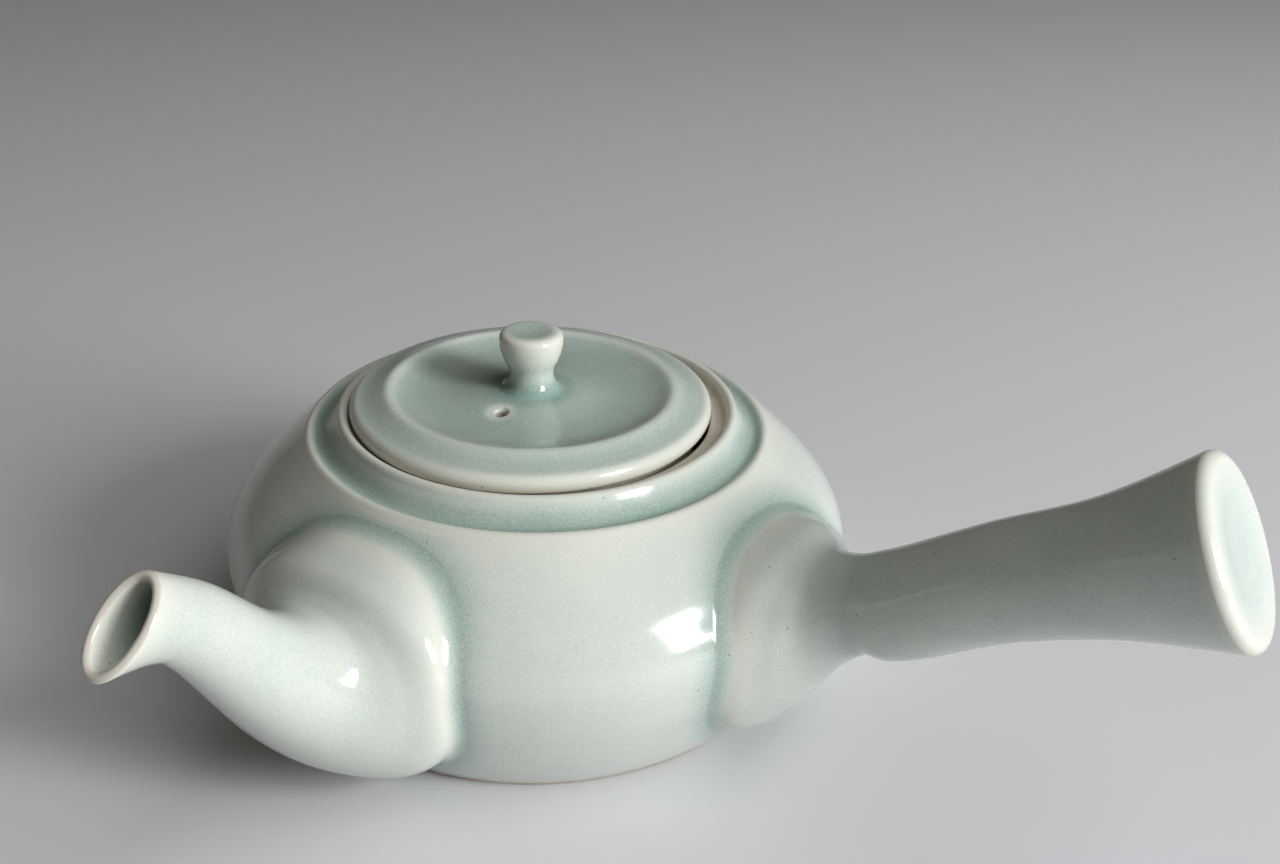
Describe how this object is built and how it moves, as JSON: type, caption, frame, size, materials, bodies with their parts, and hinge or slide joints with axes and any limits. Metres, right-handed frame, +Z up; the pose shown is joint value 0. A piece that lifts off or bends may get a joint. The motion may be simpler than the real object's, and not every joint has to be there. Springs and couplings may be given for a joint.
{
  "type": "side-handled teapot",
  "caption": "Low round teapot with a hollow side handle, a short curved spout, a pierced strainer dome inside and a lift-off lid with a knob and vent.",
  "frame": {"origin": "centre of the foot ring, on the plane that the pot stands on", "axes": "+Z up through the knob, +X towards the handle; the spout points nearly along -Y, 88 degrees clockwise from the handle seen from above"},
  "size_m": [0.1768, 0.1497, 0.0721],
  "materials": {
    "celadon_glaze": "glossy pale green-blue celadon glaze, cream at the edges and deeper where it pools",
    "bare_porcelain": "fine matt unglazed porcelain"
  },
  "bodies": {
    "pot": {"pot_body": "celadon_glaze", "spout": "celadon_glaze", "strainer": "bare_porcelain", "handle": "celadon_glaze", "handle_end": "celadon_glaze"},
    "lid": {"lid_plate": "celadon_glaze", "lid_collar": "bare_porcelain", "lid_knob": "celadon_glaze"}
  },
  "joints": [
    {"name": "lid_lift", "type": "slide", "parent": "pot", "child": "lid", "axis": [0, 0, 1], "range_m": [0, 0.12]}
  ]
}
